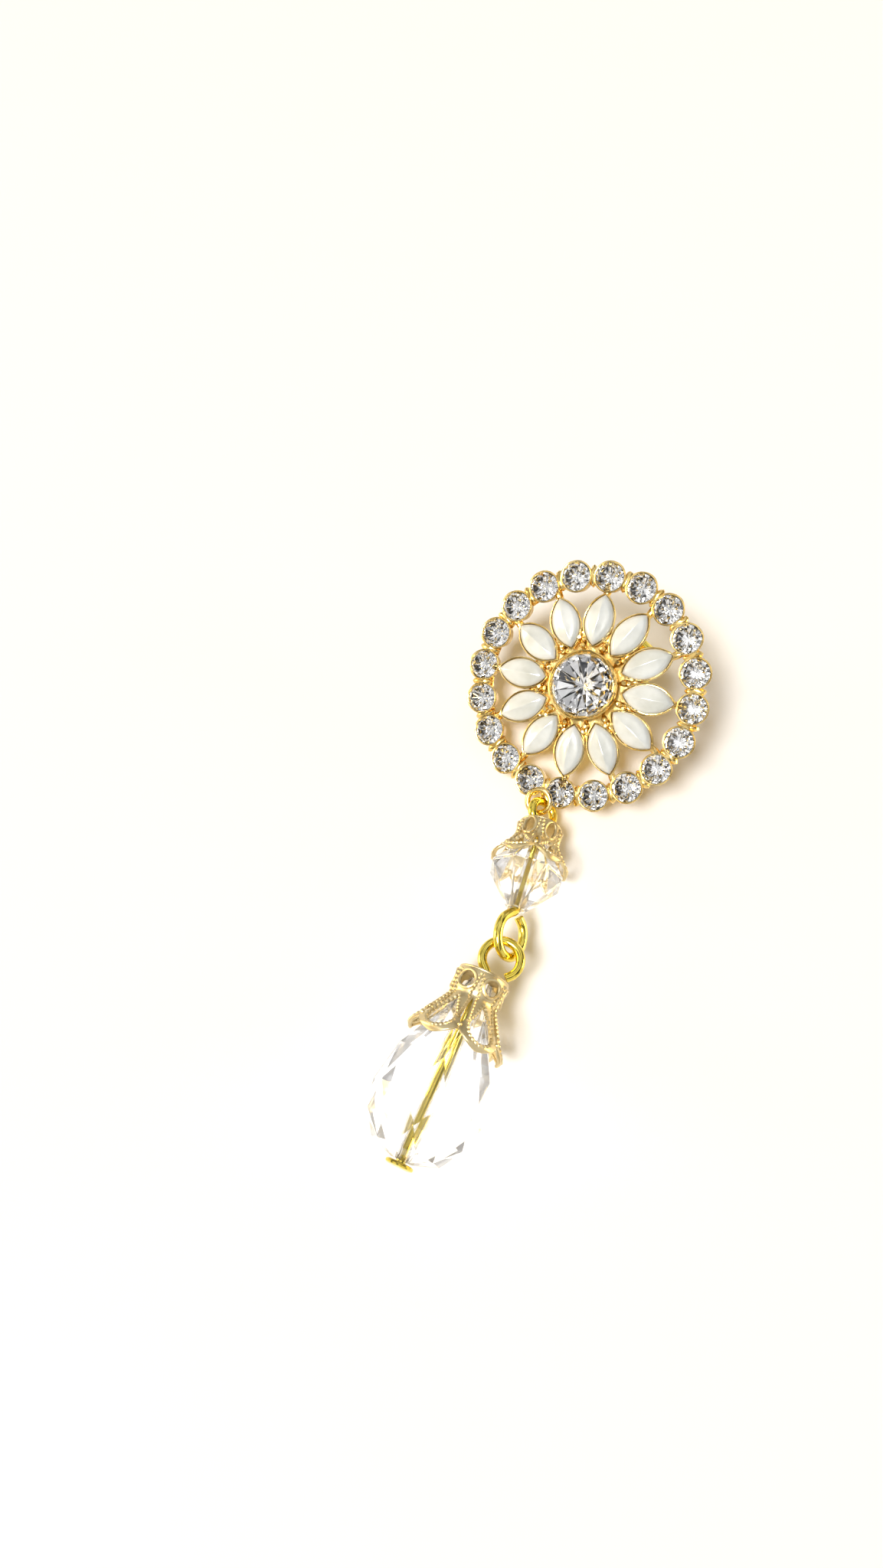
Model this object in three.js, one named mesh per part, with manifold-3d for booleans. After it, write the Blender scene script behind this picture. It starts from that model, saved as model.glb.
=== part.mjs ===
// Chandelier clip earring lying on its back: a round flower medallion with an ear clip,
// a capped bicone bead on an eye pin and a capped teardrop bead on a head pin.
// Millimetres, +Z up, origin on the table under the middle of the whole earring.
// The earring's long axis runs along Y, with the medallion at the +Y end.
import * as THREE from 'three';
import { mergeVertices } from 'three/addons/utils/BufferGeometryUtils.js';
import loadManifold from 'manifold-3d';

const wasm = await loadManifold();
wasm.setup();

// Clearances
const fit = 0.16; // between a stone, bead or pin and the metal around it
const runGap = 0.15; // on each side of the lever's knuckle
const girdleShare = 0.035; // half of a stone's girdle, as a share of its width

// Rim stones in their tube cups
const rimRadius = 11.3; // circle through the stone centres
const rimCount = 20;
const rimStone = 2.9; // diameter
const rimCrown = 0.55;
const rimPavilion = 1.1;
const cupWall = 0.13;
const cupLip = 0.12; // lip height above the girdle
const cupFloor = 0.4;
const bandInside = 1.65; // how far the rim band reaches inward of the stone circle
const bandOutside = 0.35;
const bandTop = -0.55;
const bandBottom = -1.45;

// Petals in their marquise settings
const petalCount = 12;
const petalLength = 5.3;
const petalDome = 0.75;
const petalToRim = 0.4; // from a petal's outer point to the circle inside the rim stones
const petalRadius = rimRadius - rimStone / 2 - petalToRim - petalLength / 2; // through their centres
const petalBetween = 0.66; // from one petal's side to the next
const petalWidth = 2 * Math.PI * petalRadius / petalCount - petalBetween;
const petalLift = 0.3;
const petalSlope = 4; // degrees, inner ends higher
const petalWall = 0.2;
const petalFoot = 0.3; // petal below its widest line
const petalLip = 0.12;
const petalDepth = 0.75; // setting below the petal's edge
const granule = 0.62; // diameter of the grains between the petals
const granuleRadius = petalRadius - 1.85;
const plateRadius = petalRadius - 1.8; // clip plate soldered across the back
const plateTop = -0.25;
const plateBottom = -1.5;

// Centre stone in its bezel
const petalToCentre = 0.95; // from a petal's inner point to the centre stone
const centreStone = 2 * (petalRadius - petalLength / 2 - petalToCentre);
const centreCrown = 0.172 * centreStone;
const centrePavilion = 0.211 * centreStone;
const centreLift = 0.86; // girdle above the rim stones' girdles
const bezelWall = 0.24;
const bezelLip = 0.2;

// Hanging ring behind the rim, between two stones
const wire = 0.8; // diameter of the pins' wire
const ringWire = 0.62;
const ringBore = 1.84;
const ringCentre = rimRadius + 1.52; // from the medallion's centre
const ringLevel = 0.15; // along the medallion's axis

// Ear clip, in the plane across its hinge: s along the lever, w along the medallion's axis
const clipPin = 1.0;
const clipPinEnd = 0.3; // pin standing out of each ear
const pinS = -plateRadius - 1;
const pinW = -5.6;
const earThickness = 0.8;
const earWidth = 2.4;
const knuckleWidth = 3.2;
const knuckleWall = 0.5;
const leverThickness = 0.9;
const leverWidth = 6.2;
const archDepth = 4.75; // arch of the lever below its pin
const padHeight = 4.3; // curled end above the sole
const soleStart = 1.6; // s where the flat sole that rests on the table begins and ends
const soleEnd = 5.6;

// Lower drop: teardrop bead
const dropLength = 18;
const dropWidth = 11.1;
const dropSides = 10;
const crownRise = 0.8; // cap crown above the teardrop's top
const beadHole = 1.2; // drilled through both beads

// Upper drop: bicone bead
const biconeLength = 8;
const biconeWidth = 7.8;
const biconeSides = 8;
const biconeEnd = 1.9; // width of its small end faces
const biconeRise = 1.9; // cap crown above the bicone's top

// Bead caps: wall, and the widths at crown, waist and petal tips
const capWall = 0.42;
const capHole = wire + 2 * fit;
const capShoulder = 0.35; // rounded edge of the crown
const capEdge = 0.5; // upright edge at the petal tips
const capNotch = 1.25; // depth of the notches between the petals
const capSlit = 0.32;
const largeCap = {
  crown: 5.2, waist: 4.9, tips: 9.7, waistAt: 2.75, length: 7.5, curl: 0.2, window: [1.35, 1.35],
};
const smallCap = {
  crown: 4.6, waist: 4.9, tips: 8, waistAt: 2.4, length: 5.1, curl: 0.05, window: [1.05, 1.75],
};
const capPetals = 6;

// Pins
// Wire loops: centreline radius, length for its width, neck below the loop, offset from the
// shank and degrees that the loop is rolled out of the table's plane
const topEye = { radius: 1.4, stretch: 0.89, neck: 0.36, shift: -0.3, roll: 34 };
const lowEye = { radius: 1.9, stretch: 1.185, neck: 0.43, shift: 0.42, roll: 48 };
const headLoop = { radius: 1.865, stretch: 1, neck: 0.25, shift: 0.82, roll: 0 };
const headDisc = 2.8;
const headThickness = 0.45;

// Lie of the parts on the table, in the medallion's own plan
const ringHeight = 3.12; // of the hanging ring's centre above the table
const medallionTilt = 31.2; // degrees
const medallionLean = -116.6; // direction of the slope
const medallionSpin = -5.8; // hanging ring's side of the lean
const eyePinTop = new THREE.Vector3(1.154, -2.606, -0.155); // small cap's crown from the hanging ring
const eyePinYaw = 3.4;
const headPinTop = new THREE.Vector3(-0.673, -4.775, 0); // large cap's crown from the lower eye, in plan
const headPinYaw = -3.7;

const rad = THREE.MathUtils.degToRad;
const leanAxis = new THREE.Vector3(-Math.sin(rad(medallionLean)), Math.cos(rad(medallionLean)), 0);
const medallionTurn = new THREE.Quaternion().setFromAxisAngle(leanAxis, rad(medallionTilt))
  .multiply(new THREE.Quaternion().setFromAxisAngle(new THREE.Vector3(0, 0, 1), rad(medallionSpin)));
const ringArm = new THREE.Vector3(0, -ringCentre, ringLevel).applyQuaternion(medallionTurn);
const medallionHeight = ringHeight - ringArm.z;

// Materials
const brightGold = new THREE.MeshStandardMaterial({ color: 0xd9a441, roughness: 0.25, metalness: 1 });
const lemonGold = new THREE.MeshStandardMaterial({ color: 0xe8c64a, roughness: 0.2, metalness: 1 });
const paleGold = new THREE.MeshStandardMaterial({ color: 0xd9be8c, roughness: 0.4, metalness: 1 });
const rhinestone = new THREE.MeshStandardMaterial({ color: 0xe4e6ec, roughness: 0.05, metalness: 0.6 });
const pearl = new THREE.MeshStandardMaterial({ color: 0xf0eee4, roughness: 0.25, metalness: 0 });
const glass = new THREE.MeshStandardMaterial({ color: 0xeef0f2, roughness: 0.03, metalness: 0 });

// Closed mesh to solid, and back
function solid(geometry) {
  const bare = geometry.clone();
  for (const name of ['normal', 'uv']) bare.deleteAttribute(name);
  const merged = mergeVertices(bare, 1e-5);
  return new wasm.Manifold(new wasm.Mesh({
    numProp: 3,
    vertProperties: new Float32Array(merged.attributes.position.array),
    triVerts: new Uint32Array(merged.index.array),
  }));
}

function geometryOf(body) {
  const mesh = body.getMesh();
  const geometry = new THREE.BufferGeometry();
  geometry.setAttribute('position', new THREE.BufferAttribute(new Float32Array(mesh.vertProperties), 3));
  geometry.setIndex(new THREE.BufferAttribute(new Uint32Array(mesh.triVerts), 1));
  return geometry;
}

function join(pieces) {
  return pieces.reduce((all, piece) => all.add(piece));
}

// Solid skinned over rings of equal point count, each ring counter-clockwise seen from its far end
function loft(rings) {
  const count = rings[0].length;
  const points = rings.flat().concat([middle(rings[0]), middle(rings[rings.length - 1])]);
  const faces = [];
  for (let i = 0; i + 1 < rings.length; i++) {
    for (let j = 0; j < count; j++) {
      const a = i * count + j;
      const b = i * count + ((j + 1) % count);
      faces.push(a, b, b + count, a, b + count, a + count);
    }
  }
  const low = points.length - 2;
  const last = (rings.length - 1) * count;
  for (let j = 0; j < count; j++) {
    const next = (j + 1) % count;
    faces.push(low, next, j, low + 1, last + j, last + next);
  }
  const geometry = new THREE.BufferGeometry();
  geometry.setAttribute('position', new THREE.Float32BufferAttribute(points.flatMap((p) => p.toArray()), 3));
  geometry.setIndex(faces);
  return geometry;
}

function middle(ring) {
  return ring.reduce((sum, p) => sum.add(p), new THREE.Vector3()).divideScalar(ring.length);
}

function circle(radius, z, count, turn = 0) {
  return Array.from({ length: count }, (_, i) => {
    const a = ((i + turn) * 2 * Math.PI) / count;
    return new THREE.Vector3(radius * Math.cos(a), radius * Math.sin(a), z);
  });
}

// Turned body on the Z axis from [radius, height] pairs
function turned(profile, sides) {
  const geometry = new THREE.LatheGeometry(profile.map(([r, z]) => new THREE.Vector2(r, z)), sides);
  return geometry.rotateX(Math.PI / 2);
}

function cylinder(diameter, from, to, sides) {
  return turned([[0, from], [diameter / 2, from], [diameter / 2, to], [0, to]], sides);
}

// Round wire along a smooth path, closed at both ends
function bentWire(points, diameter, steps) {
  const section = new THREE.Shape(circle(diameter / 2, 0, 6, 0.5).map((p) => new THREE.Vector2(p.x, p.y)));
  const path = new THREE.CatmullRomCurve3(points, false, 'centripetal');
  return new THREE.ExtrudeGeometry(section, { steps, bevelEnabled: false, extrudePath: path });
}

// Points of a loop at a shank's end, drawn beside the Z axis and rolled about it; side is 1
// above the end and -1 below it, angles in degrees
function wireLoop({ radius, stretch, neck, shift, roll }, end, side, from, to) {
  const centre = end + side * (radius * stretch + neck);
  const axis = new THREE.Vector3(0, 0, 1);
  return Array.from({ length: 12 }, (_, i) => {
    const a = rad(from + ((to - from) * i) / 11);
    const point = new THREE.Vector3(shift + radius * Math.cos(a), 0, centre + radius * stretch * Math.sin(a));
    return point.applyAxisAngle(axis, rad(roll));
  });
}

// Round stone with a table, eight crown facets, a girdle and a pointed pavilion
function brilliant(diameter, crown, pavilion) {
  const girdle = girdleShare * diameter;
  const octagon = circle(0.29 * diameter, crown, 8, 0.5);
  const top = circle(diameter / 2, girdle, 16);
  const bottom = circle(diameter / 2, -girdle, 16);
  const points = [...octagon, ...top, ...bottom, new THREE.Vector3(0, 0, -pavilion)];
  const faces = [];
  for (let i = 1; i < 7; i++) faces.push(0, i, i + 1);
  for (let i = 0; i < 8; i++) {
    const corner = 8 + 2 * i;
    const mid = corner + 1;
    const nextCorner = 8 + ((2 * i + 2) % 16);
    faces.push(i, corner, mid, i, mid, nextCorner, i, nextCorner, (i + 1) % 8);
  }
  for (let i = 0; i < 16; i++) {
    const a = 8 + i;
    const b = 8 + ((i + 1) % 16);
    faces.push(a, a + 16, b + 16, a, b + 16, b, a + 16, 40, b + 16);
  }
  const geometry = new THREE.BufferGeometry();
  geometry.setAttribute('position', new THREE.Float32BufferAttribute(points.flatMap((p) => p.toArray()), 3));
  geometry.setIndex(faces);
  return geometry;
}

// Tapered blank of a stone's cup, and the seat cut into it along the stone's pavilion
function cup(stone, pavilion, wall, lip, floor, sides) {
  const inside = stone / 2 + fit;
  const depth = pavilion + fit;
  return turned([[0, -depth - floor], [inside - 0.15 * depth, -depth - floor], [inside + wall, lip], [0, lip]], sides);
}

function seat(stone, pavilion, lip, sides) {
  const inside = stone / 2 + fit;
  const edge = -girdleShare * stone - fit;
  return turned([[0, -pavilion - fit], [inside, edge], [inside, lip + 1], [0, lip + 1]], sides);
}

// Marquise outline: two arcs that meet in points on the X axis
function marquise(length, width, z, scale = 1) {
  const half = length / 2;
  const sag = width / 2;
  const radius = (half * half + sag * sag) / (2 * sag);
  const sweep = Math.asin(half / radius);
  const side = (sign) => Array.from({ length: 5 }, (_, i) => {
    const a = sweep * (1 - (2 * i) / 5) * sign;
    return new THREE.Vector3(scale * radius * Math.sin(a), scale * sign * (radius * Math.cos(a) - radius + sag), z);
  });
  return [...side(1), ...side(-1)];
}

// Pearly petal: a marquise with a soft ridge along it
function petal() {
  const ridge = marquise(petalLength, petalWidth, petalDome, 0.6).map((p) => p.multiply(new THREE.Vector3(1, 0.12, 1)));
  return loft([
    marquise(petalLength, petalWidth, -petalFoot, 0.94),
    marquise(petalLength, petalWidth, 0),
    marquise(petalLength, petalWidth, 0.68 * petalDome, 0.72),
    ridge,
  ]);
}

// Blank of a petal's setting, and the seat cut into it
function petalSetting() {
  const grow = 2 * (fit + petalWall);
  return loft([
    marquise(petalLength + grow, petalWidth + grow, -petalDepth, 0.9),
    marquise(petalLength + grow, petalWidth + grow, petalLip),
  ]);
}

function petalSeat() {
  return loft([
    marquise(petalLength + 2 * fit, petalWidth + 2 * fit, -petalFoot - fit),
    marquise(petalLength + 2 * fit, petalWidth + 2 * fit, petalDome + 1),
  ]);
}

// Places around the medallion: stones start beside the hanging ring, which is at -90 degrees
function around(index, count, radius, z) {
  const angle = rad(-90 + 360 / rimCount / 2 + (360 * index) / count);
  return new THREE.Matrix4().makeRotationZ(angle).multiply(new THREE.Matrix4().makeTranslation(radius, 0, z));
}

const petalTilt = new THREE.Matrix4().makeRotationY(rad(petalSlope));
const petalPlaces = Array.from({ length: petalCount }, (_, i) =>
  around(i, petalCount, petalRadius, petalLift).multiply(petalTilt));
const stonePlaces = Array.from({ length: rimCount }, (_, i) => around(i, rimCount, rimRadius, 0));

// Clip frame: s points down the slope, the hinge's axis lies across it
const clipTurn = new THREE.Matrix4().makeRotationZ(rad(medallionLean - medallionSpin));

// Extrusion across the clip of an outline drawn in s and w
function acrossClip(outline, from, to, holes = []) {
  const shape = new THREE.Shape(outline.map(([s, w]) => new THREE.Vector2(s, w)));
  shape.holes = holes;
  const geometry = new THREE.ExtrudeGeometry(shape, { depth: to - from, bevelEnabled: false });
  geometry.translate(0, 0, from);
  return geometry.rotateX(Math.PI / 2).applyMatrix4(clipTurn);
}

function pinCircle(diameter, sides = 12) {
  return circle(diameter / 2, 0, sides, 0.5).map((p) => [pinS + p.x, pinW + p.y]);
}

// Medallion frame: cups, band, petal settings, grains, bezel, hanging ring, clip plate, ears and pin
function medallionFrame() {
  const band = turned([
    [rimRadius - bandInside, bandBottom], [rimRadius + bandOutside, bandBottom],
    [rimRadius + bandOutside, bandTop], [rimRadius - bandInside, bandTop], [rimRadius - bandInside, bandBottom],
  ], rimCount);
  const pieces = [solid(band)];
  const rimCup = cup(rimStone, rimPavilion, cupWall, cupLip, cupFloor, 12);
  for (const place of stonePlaces) pieces.push(solid(rimCup.clone().applyMatrix4(place)));
  const setting = petalSetting();
  for (const place of petalPlaces) pieces.push(solid(setting.clone().applyMatrix4(place)));
  const grain = new THREE.IcosahedronGeometry(granule / 2, 0);
  for (let i = 0; i < petalCount; i++) {
    pieces.push(solid(grain.clone().applyMatrix4(around(i + 0.5, petalCount, granuleRadius, 0.35))));
  }
  const bezel = cup(centreStone, centrePavilion, bezelWall, bezelLip, cupFloor, 20);
  pieces.push(solid(bezel.translate(0, 0, centreLift)));
  const seats = [solid(seat(centreStone, centrePavilion, bezelLip, 20).translate(0, 0, centreLift))];
  const rimSeat = seat(rimStone, rimPavilion, cupLip, 12);
  for (const place of stonePlaces) seats.push(solid(rimSeat.clone().applyMatrix4(place)));
  for (const place of petalPlaces) seats.push(solid(petalSeat().applyMatrix4(place)));
  pieces.push(solid(cylinder(2 * plateRadius, plateBottom, plateTop, 20)));
  const ring = turned([
    [ringBore / 2, -ringWire / 2], [ringBore / 2 + 0.7 * ringWire, -ringWire / 2],
    [ringBore / 2 + ringWire, 0], [ringBore / 2 + 0.7 * ringWire, ringWire / 2],
    [ringBore / 2, ringWire / 2], [ringBore / 2, -ringWire / 2],
  ], 14);
  const ringBody = solid(ring.translate(0, -ringCentre, ringLevel));
  const earOutline = [
    [-plateRadius + 0.25 * earWidth, plateBottom + 0.12 * earWidth],
    [-plateRadius + 1.25 * earWidth, plateBottom + 0.12 * earWidth],
    [pinS + 0.45 * earWidth, pinW - 0.04 * earWidth], [pinS + 0.2 * earWidth, pinW - 0.43 * earWidth],
    [pinS - 0.2 * earWidth, pinW - 0.43 * earWidth], [pinS - 0.45 * earWidth, pinW - 0.04 * earWidth],
    [pinS - 0.45 * earWidth, pinW + 0.25 * earWidth],
  ];
  const inner = knuckleWidth / 2 + runGap;
  for (const side of [1, -1]) {
    const ends = [side * inner, side * (inner + earThickness)].sort((a, b) => a - b);
    pieces.push(solid(acrossClip(earOutline, ...ends)));
  }
  const reach = inner + earThickness + clipPinEnd;
  pieces.push(solid(acrossClip(pinCircle(clipPin), -reach, reach)));
  const bore = solid(cylinder(ringBore, ringLevel - 3, ringLevel + 3, 14).translate(0, -ringCentre, 0));
  return geometryOf(join([...pieces, ringBody]).subtract(join([...seats, bore])));
}

// Clip lever: knuckle on the pin, high arch, flat sole, then a pad that closes towards the plate
function clipLever() {
  const slope = Math.tan(rad(medallionTilt));
  const floorAt = (s) => slope * s - medallionHeight / Math.cos(rad(medallionTilt));
  const t = leverThickness;
  const knuckle = (clipPin / 2 + runGap + knuckleWall) * 2;
  const outer = [
    [pinS - 0.04 * archDepth, pinW - knuckle / 2], [pinS + 0.1 * archDepth, pinW - 0.55 * archDepth],
    [pinS + 0.46 * archDepth, pinW - 0.86 * archDepth],
    [(pinS + soleStart) / 2 + 0.25 * archDepth, pinW - archDepth],
    [soleStart, floorAt(soleStart)], [soleEnd, floorAt(soleEnd)],
    [soleEnd + 0.28 * padHeight, floorAt(soleEnd) + 0.37 * padHeight],
    [soleEnd + 0.26 * padHeight, floorAt(soleEnd) + 0.74 * padHeight],
    [soleEnd + 0.05 * padHeight, floorAt(soleEnd) + 0.95 * padHeight],
    [soleEnd - 0.51 * padHeight, floorAt(soleEnd) + padHeight],
  ];
  const inner = outer.map(([s, w], i) => {
    const before = outer[Math.max(i - 1, 0)];
    const after = outer[Math.min(i + 1, outer.length - 1)];
    const a = new THREE.Vector2(s - before[0], w - before[1]).normalize();
    const b = new THREE.Vector2(after[0] - s, after[1] - w).normalize();
    const run = a.clone().add(b).normalize();
    const miter = a.lengthSq() && b.lengthSq() ? Math.sqrt((1 + a.dot(b)) / 2) : 1;
    return [s - (t / miter) * run.y, w + (t / miter) * run.x];
  });
  const wide = 2; // where the strip widens past the ears
  const tail = [...outer.slice(wide), ...inner.slice(wide).reverse()];
  const neck = [...outer.slice(0, wide + 1), ...inner.slice(0, wide + 1).reverse()];
  const hole = solid(acrossClip(pinCircle(clipPin + 2 * runGap), -knuckleWidth, knuckleWidth));
  const body = join([
    solid(acrossClip(pinCircle(knuckle), -knuckleWidth / 2, knuckleWidth / 2)),
    solid(acrossClip(neck, -knuckleWidth / 2, knuckleWidth / 2)),
    solid(acrossClip(tail, -leverWidth / 2, leverWidth / 2)),
  ]);
  return geometryOf(body.subtract(hole));
}

// Prism that cuts outward through a cap's wall; its outline is drawn as [across, down]
function capCutter(outline, reach, turn) {
  const shape = new THREE.Shape(outline.map(([x, d]) => new THREE.Vector2(x, -d)));
  const geometry = new THREE.ExtrudeGeometry(shape, { depth: reach, bevelEnabled: false });
  geometry.translate(0, 0, capHole).rotateX(Math.PI / 2).rotateZ(Math.PI);
  return solid(geometry.rotateZ(turn));
}

function oval(cx, cy, width, height, count = 8) {
  return circle(0.5, 0, count, 0.5).map((p) => [cx + p.x * width, cy + p.y * height]);
}

// Pierced bead cap: crown at z = 0, six petals spreading downwards
function beadCap(cap) {
  const { crown, waist, tips, waistAt, length, curl, window } = cap;
  const spread = length - waistAt;
  const flare = (tips - waist) / 2;
  const outer = [
    [crown / 2 - capShoulder, 0], [crown / 2, -0.86 * capShoulder],
    [crown / 2 - 0.05, -waistAt + capEdge], [waist / 2, -waistAt],
    [waist / 2 + 0.3 * flare, -waistAt - 0.3 * spread], [waist / 2 + 0.72 * flare, -waistAt - 0.62 * spread],
    [tips / 2, -length + capEdge], [tips / 2 - curl, -length],
  ];
  const inner = outer.slice(1).map(([r, z], i) => (i === 0 ? [r - capWall, -capWall] : [r - capWall, z]));
  const profile = [[capHole / 2, 0], ...outer, ...inner.reverse(), [capHole / 2, -capWall]];
  profile.push(profile[0]);
  const pitch = (2 * Math.PI) / capPetals;
  const tipPitch = Math.PI * tips / capPetals;
  const half = 0.21 * tipPitch;
  const top = waistAt + 0.16 * spread;
  const drop = (share) => top + share * (length - capNotch / 2 - top);
  const piercing = [
    [0, top], [0.48 * half, drop(0.3)], [half, drop(0.62)], [0.84 * half, drop(0.88)], [0, drop(1)],
    [-0.84 * half, drop(0.88)], [-half, drop(0.62)], [-0.48 * half, drop(0.3)],
  ];
  const notch = [
    [0, length - capNotch], [-0.3 * tipPitch, length], [-0.3 * tipPitch, length + capNotch],
    [0.3 * tipPitch, length + capNotch], [0.3 * tipPitch, length],
  ];
  const slit = [
    [0, waistAt + 0.02 * spread], [-capSlit / 2, waistAt + 0.25 * spread],
    [0, waistAt + 0.52 * spread], [capSlit / 2, waistAt + 0.25 * spread],
  ];
  let body = solid(turned(profile.reverse(), 18));
  for (let i = 0; i < capPetals; i++) {
    const onPetal = (i + 0.5) * pitch;
    for (const outline of [oval(0, 0.5 * waistAt, ...window), piercing]) {
      body = body.subtract(capCutter(outline, tips, onPetal));
    }
    for (const outline of [notch, slit]) {
      body = body.subtract(capCutter(outline, tips, onPetal + pitch / 2));
    }
  }
  return geometryOf(body);
}

// Teardrop bead, crown down the -Z axis: long facets above, rhombic facets below, drilled through
function teardropBead() {
  const rows = [
    // width share, distance share from the top, half step
    [0.21, 0, 0.5], [0.41, 0.2, 0], [0.87, 0.47, 0.5], [1, 0.69, 0], [0.9, 0.84, 0.5], [0.62, 0.95, 0], [0.2, 1, 0.5],
  ];
  const rings = rows.map(([share, down, turn]) =>
    circle(share * dropWidth / 2, -down * dropLength, dropSides, turn));
  const body = solid(halfStepLoft(rings.reverse()));
  return geometryOf(body.subtract(solid(cylinder(beadHole, -dropLength - 1, 1, 8))));
}

// Loft in which each ring is turned half a step from the one before, from the lowest ring up
function halfStepLoft(rings) {
  return loft(rings.map((ring, i) => {
    const shift = Math.floor(i / 2);
    return ring.map((_, j) => ring[(j + ring.length - shift) % ring.length]);
  }));
}

function biconeBead() {
  const rings = [
    circle(biconeEnd / 2, -biconeLength, biconeSides, 0.5),
    circle(biconeWidth / 2, -biconeLength / 2 - 0.12, biconeSides, 0.5),
    circle(biconeWidth / 2, -biconeLength / 2 + 0.12, biconeSides, 0.5),
    circle(biconeEnd / 2, 0, biconeSides, 0.5),
  ];
  return geometryOf(solid(loft(rings)).subtract(solid(cylinder(beadHole, -biconeLength - 1, 1, 8))));
}

// Straight start of a pin's shank, below its upper loop
function pinNeck() {
  return [0.38, -0.25, -1.12].map((share) => new THREE.Vector3(0, 0, share * wire));
}

// Eye pin along -Z from the small cap's crown, its loops in the XZ plane
function eyePin() {
  const foot = -(biconeRise + biconeLength);
  const points = [
    ...wireLoop(topEye, 0, 1, -48, 222),
    ...pinNeck(),
    new THREE.Vector3(0, 0, foot + 1.25 * wire),
    new THREE.Vector3(0, 0, foot - 0.12 * wire),
    ...wireLoop(lowEye, foot, -1, 125, 400),
  ];
  return bentWire(points, wire, 66);
}

// Head pin along -Z from the large cap's crown, with a disc head below the teardrop
function headPin() {
  const foot = -(crownRise + dropLength);
  const points = [
    ...wireLoop(headLoop, 0, 1, -54, 212),
    ...pinNeck(),
    new THREE.Vector3(0, 0, -5 * wire),
    new THREE.Vector3(0, 0, foot - fit - 0.5 * headThickness),
  ];
  const head = turned([
    [0, foot - fit - headThickness], [headDisc / 2 - 0.33 * headThickness, foot - fit - headThickness],
    [headDisc / 2, foot - fit - 0.5 * headThickness], [headDisc / 2, foot - fit], [0, foot - fit],
  ], 16);
  return geometryOf(solid(bentWire(points, wire, 54)).add(solid(head)));
}

// Assembly
const earring = new THREE.Group();
const medallion = new THREE.Group();
const upperDrop = new THREE.Group();
const lowerDrop = new THREE.Group();
earring.add(medallion, upperDrop, lowerDrop);

function add(group, name, geometry, material, matrix = new THREE.Matrix4()) {
  const mesh = new THREE.Mesh(geometry, material);
  mesh.name = name;
  mesh.applyMatrix4(matrix);
  group.add(mesh);
}

const two = (number) => String(number).padStart(2, '0');

add(medallion, 'medallion_frame', medallionFrame(), brightGold);
stonePlaces.forEach((place, i) =>
  add(medallion, `rim_stone_${two(i + 1)}`, brilliant(rimStone, rimCrown, rimPavilion), rhinestone, place));
petalPlaces.forEach((place, i) => add(medallion, `petal_${two(i + 1)}`, petal(), pearl, place));
add(medallion, 'centre_stone', brilliant(centreStone, centreCrown, centrePavilion), rhinestone,
  new THREE.Matrix4().makeTranslation(0, 0, centreLift));
add(medallion, 'clip_lever', clipLever(), lemonGold);

medallion.quaternion.copy(medallionTurn);
medallion.position.z = medallionHeight;

// A drop's -Z axis is laid down along -Y, then yawed and raised
function layDrop(group, top, yaw, rise) {
  group.rotation.set(rad(-90 - rise), 0, rad(yaw), 'ZXY');
  group.position.copy(top);
  group.updateMatrixWorld(true);
}

add(upperDrop, 'eye_pin', eyePin(), lemonGold);
add(upperDrop, 'small_cap', beadCap(smallCap), paleGold);
add(upperDrop, 'bicone_bead', biconeBead(), glass, new THREE.Matrix4().makeTranslation(0, 0, -biconeRise));
add(lowerDrop, 'head_pin', headPin(), lemonGold);
add(lowerDrop, 'large_cap', beadCap(largeCap), paleGold);
add(lowerDrop, 'teardrop_bead', teardropBead(), glass, new THREE.Matrix4().makeTranslation(0, 0, -crownRise));

const lowEyeDown = biconeRise + biconeLength + lowEye.neck + lowEye.radius * lowEye.stretch;
const dropHeight = (dropWidth / 2) * Math.cos(Math.PI / dropSides);
const crown = ringArm.clone().setZ(ringHeight).add(eyePinTop);
const eyePinRise = THREE.MathUtils.radToDeg(Math.asin((dropHeight - crown.z) / lowEyeDown));
layDrop(upperDrop, crown, eyePinYaw, eyePinRise);
const lowEyeCentre = upperDrop.localToWorld(new THREE.Vector3(0, 0, -lowEyeDown)).add(headPinTop);
layDrop(lowerDrop, lowEyeCentre, headPinYaw, 0);

earring.updateMatrixWorld(true);
const box = new THREE.Box3().setFromObject(earring, true);
earring.position.set(-(box.min.x + box.max.x) / 2, -(box.min.y + box.max.y) / 2, -box.min.z);

export default earring;
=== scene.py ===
import bmesh
import bpy
from math import asin, cos, degrees, hypot, pi, radians, sin, sqrt
from mathutils import Matrix, Vector, noise


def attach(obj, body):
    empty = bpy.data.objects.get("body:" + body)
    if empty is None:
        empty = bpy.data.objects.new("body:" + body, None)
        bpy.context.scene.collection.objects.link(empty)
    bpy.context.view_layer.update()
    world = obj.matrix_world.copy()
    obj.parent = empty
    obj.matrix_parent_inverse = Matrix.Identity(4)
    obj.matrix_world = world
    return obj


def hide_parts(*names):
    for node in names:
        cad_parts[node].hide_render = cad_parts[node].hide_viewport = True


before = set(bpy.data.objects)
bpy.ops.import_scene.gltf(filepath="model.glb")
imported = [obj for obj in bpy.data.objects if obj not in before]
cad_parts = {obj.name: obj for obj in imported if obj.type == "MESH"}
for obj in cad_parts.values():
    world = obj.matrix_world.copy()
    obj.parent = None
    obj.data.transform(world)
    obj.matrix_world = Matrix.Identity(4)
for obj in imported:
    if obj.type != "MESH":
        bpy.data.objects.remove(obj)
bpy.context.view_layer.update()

# Camera: it looks steeply down on the table, as the earring was photographed, from far enough
# above the floor that the rim stones and the glass drop are all in view.
camera = bpy.data.objects.new("camera", bpy.data.cameras.new("camera"))
bpy.context.collection.objects.link(camera)
camera.location = (0.00567, -0.03651, 0.11784)
camera.rotation_euler = (radians(21.69), 0, radians(21.05))
camera.data.lens = 27.07
camera.data.sensor_width = 36
camera.data.clip_start = 0.005
bpy.context.scene.camera = camera
bpy.context.scene.view_settings.view_transform = "Standard"

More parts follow.
